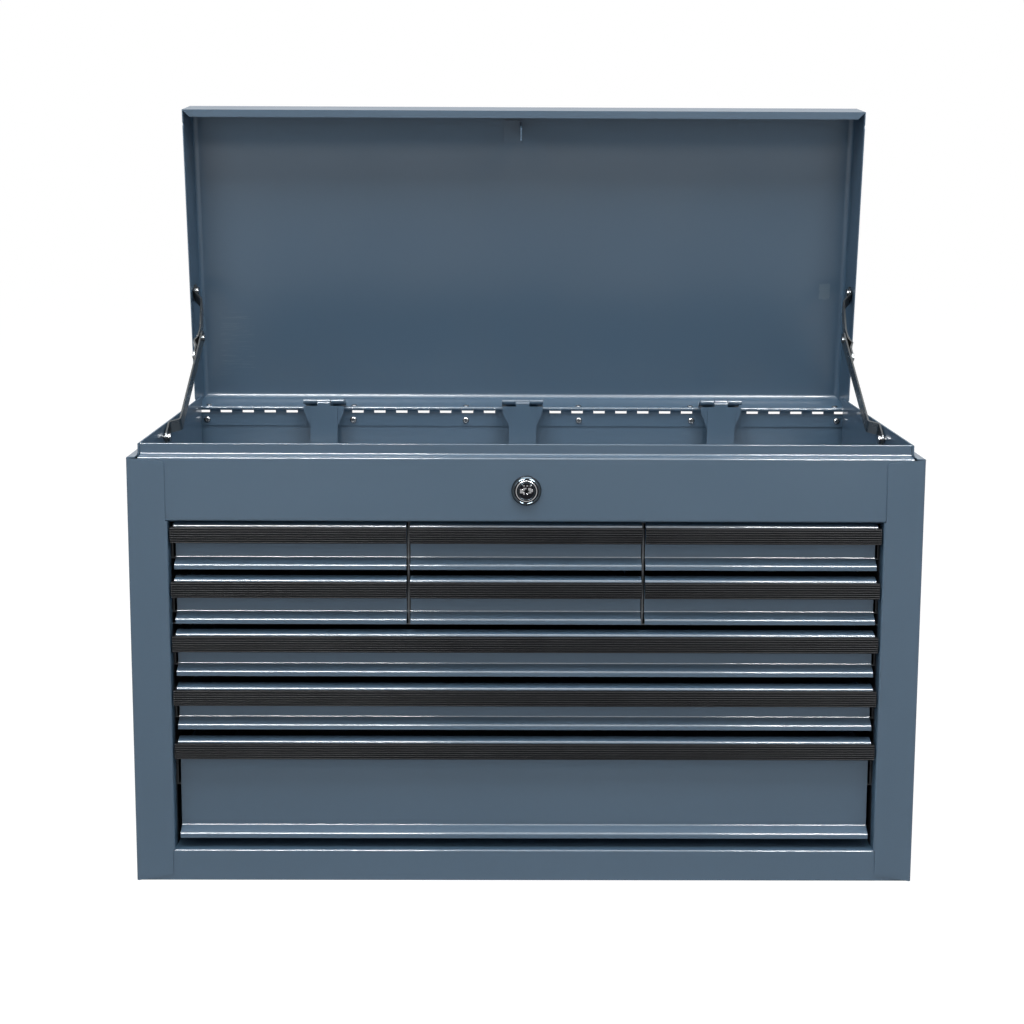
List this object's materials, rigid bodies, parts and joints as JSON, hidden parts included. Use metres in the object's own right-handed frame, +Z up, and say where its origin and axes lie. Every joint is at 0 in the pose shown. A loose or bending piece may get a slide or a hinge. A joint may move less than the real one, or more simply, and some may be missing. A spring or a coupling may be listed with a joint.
{
  "type": "machinist tool chest",
  "caption": "Steel top chest with drawers on ball slides, ribbed pull trims, a hinged lift lid on folding stays, a till under the lid, a front lock and side handles.",
  "frame": {"origin": "centre of the base's underside, where the chest stands", "axes": "+X to the chest's right as seen from the front, +Y from the front to the rear, +Z up; drawn with the lid open and the drawers shut"},
  "size_m": [0.6828, 0.3504, 0.6631],
  "materials": {
    "body_paint": "blue-grey semi-gloss powder coat",
    "inner_steel": "dark zinc-plated sheet in shadow",
    "bar_steel": "powder coat, as the body",
    "plated_steel": "zinc plate, satin",
    "lock_chrome": "polished chrome plate",
    "handle_chrome": "bright plate",
    "trim_plastic": "black ribbed extrusion, satin"
  },
  "bodies": {
    "cabinet": {"side_panel_left": "body_paint", "side_panel_right": "body_paint", "back_panel": "body_paint", "base_panel": "body_paint", "front_header": "body_paint", "front_sill": "body_paint", "till_floor": "body_paint", "side_liners": "inner_steel", "drawer_partitions": "inner_steel", "partition_shelf": "inner_steel", "slide_channels": "inner_steel", "hinge_leaf_cabinet": "plated_steel", "hinge_pin": "plated_steel", "cabinet_rivets": "plated_steel", "lock_bar_guides": "inner_steel", "lock_housing": "lock_chrome", "lock_nut": "plated_steel", "stay_pivots": "plated_steel", "handle_plates": "handle_chrome"},
    "lid": {"lid_shell": "body_paint", "hinge_leaf_lid": "plated_steel", "lid_striker": "bar_steel", "lock_bar_straps": "bar_steel", "lid_rivets": "plated_steel"},
    "lock_barrel": {"lock_plug": "lock_chrome", "lock_cam": "plated_steel"},
    "lock_bar_set": {"lock_bars": "bar_steel"},
    "stay_lower_left": {"stay_lower_left": "plated_steel"},
    "stay_lower_right": {"stay_lower_right": "plated_steel"},
    "stay_upper_left": {"stay_upper_left": "plated_steel"},
    "stay_upper_right": {"stay_upper_right": "plated_steel"},
    "handle_left": {"handle_left": "handle_chrome"},
    "handle_right": {"handle_right": "handle_chrome"},
    "drawer_1_left": {"drawer_1_left_box": "body_paint", "drawer_1_left_trim": "trim_plastic", "drawer_1_left_runners": "inner_steel"},
    "drawer_1_middle": {"drawer_1_middle_box": "body_paint", "drawer_1_middle_trim": "trim_plastic", "drawer_1_middle_runners": "inner_steel"},
    "drawer_1_right": {"drawer_1_right_box": "body_paint", "drawer_1_right_trim": "trim_plastic", "drawer_1_right_runners": "inner_steel"},
    "drawer_2_left": {"drawer_2_left_box": "body_paint", "drawer_2_left_trim": "trim_plastic", "drawer_2_left_runners": "inner_steel"},
    "drawer_2_middle": {"drawer_2_middle_box": "body_paint", "drawer_2_middle_trim": "trim_plastic", "drawer_2_middle_runners": "inner_steel"},
    "drawer_2_right": {"drawer_2_right_box": "body_paint", "drawer_2_right_trim": "trim_plastic", "drawer_2_right_runners": "inner_steel"},
    "drawer_3": {"drawer_3_box": "body_paint", "drawer_3_trim": "trim_plastic", "drawer_3_runners": "inner_steel"},
    "drawer_4": {"drawer_4_box": "body_paint", "drawer_4_trim": "trim_plastic", "drawer_4_runners": "inner_steel"},
    "drawer_5": {"drawer_5_box": "body_paint", "drawer_5_trim": "trim_plastic", "drawer_5_runners": "inner_steel"}
  },
  "joints": [
    {"name": "lid_hinge", "type": "hinge", "parent": "cabinet", "child": "lid", "pos_m": [0, 0.14675, 0.363], "axis": [1, 0, 0], "range_deg": [0, 83.2]},
    {"name": "lock_bars_slide", "type": "slide", "parent": "cabinet", "child": "lock_bar_set", "axis": [0, 0, -1], "range_m": [0, 0.022]},
    {"name": "lock_turn", "type": "hinge", "parent": "cabinet", "child": "lock_barrel", "pos_m": [0, -0.15, 0.3385], "axis": [0, -1, 0], "range_deg": [0, 90]},
    {"name": "stay_lower_left_turn", "type": "hinge", "parent": "cabinet", "child": "stay_lower_left", "pos_m": [-0.319, -0.038, 0.3635], "axis": [1, 0, 0], "range_deg": [-25.8, 0]},
    {"name": "stay_upper_left_turn", "type": "hinge", "parent": "lid", "child": "stay_upper_left", "pos_m": [-0.328, 0.15486, 0.47998], "axis": [1, 0, 0], "range_deg": [0, 60.23]},
    {"name": "handle_left_swing", "type": "hinge", "parent": "cabinet", "child": "handle_left", "pos_m": [-0.3359, 0, 0.262], "axis": [0, 1, 0], "range_deg": [0, 85]},
    {"name": "stay_lower_right_turn", "type": "hinge", "parent": "cabinet", "child": "stay_lower_right", "pos_m": [0.319, -0.038, 0.3635], "axis": [1, 0, 0], "range_deg": [-25.8, 0]},
    {"name": "stay_upper_right_turn", "type": "hinge", "parent": "lid", "child": "stay_upper_right", "pos_m": [0.328, 0.15486, 0.47998], "axis": [1, 0, 0], "range_deg": [0, 60.23]},
    {"name": "handle_right_swing", "type": "hinge", "parent": "cabinet", "child": "handle_right", "pos_m": [0.3359, 0, 0.262], "axis": [0, -1, 0], "range_deg": [0, 85]},
    {"name": "drawer_1_left_slide", "type": "slide", "parent": "cabinet", "child": "drawer_1_left", "axis": [0, -1, 0], "range_m": [0, 0.19]},
    {"name": "drawer_1_middle_slide", "type": "slide", "parent": "cabinet", "child": "drawer_1_middle", "axis": [0, -1, 0], "range_m": [0, 0.19]},
    {"name": "drawer_1_right_slide", "type": "slide", "parent": "cabinet", "child": "drawer_1_right", "axis": [0, -1, 0], "range_m": [0, 0.19]},
    {"name": "drawer_2_left_slide", "type": "slide", "parent": "cabinet", "child": "drawer_2_left", "axis": [0, -1, 0], "range_m": [0, 0.19]},
    {"name": "drawer_2_middle_slide", "type": "slide", "parent": "cabinet", "child": "drawer_2_middle", "axis": [0, -1, 0], "range_m": [0, 0.19]},
    {"name": "drawer_2_right_slide", "type": "slide", "parent": "cabinet", "child": "drawer_2_right", "axis": [0, -1, 0], "range_m": [0, 0.19]},
    {"name": "drawer_3_slide", "type": "slide", "parent": "cabinet", "child": "drawer_3", "axis": [0, -1, 0], "range_m": [0, 0.19]},
    {"name": "drawer_4_slide", "type": "slide", "parent": "cabinet", "child": "drawer_4", "axis": [0, -1, 0], "range_m": [0, 0.19]},
    {"name": "drawer_5_slide", "type": "slide", "parent": "cabinet", "child": "drawer_5", "axis": [0, -1, 0], "range_m": [0, 0.19]}
  ],
  "couplings": [
    {"joint": "lock_bars_slide", "follows": "lid_hinge", "m_per_rad": 0.01515},
    {"joint": "stay_lower_left_turn", "follows": "lid_hinge", "ratio": -0.30889},
    {"joint": "stay_upper_left_turn", "follows": "lid_hinge", "ratio": 0.72272},
    {"joint": "stay_lower_right_turn", "follows": "lid_hinge", "ratio": -0.30889},
    {"joint": "stay_upper_right_turn", "follows": "lid_hinge", "ratio": 0.72272}
  ]
}
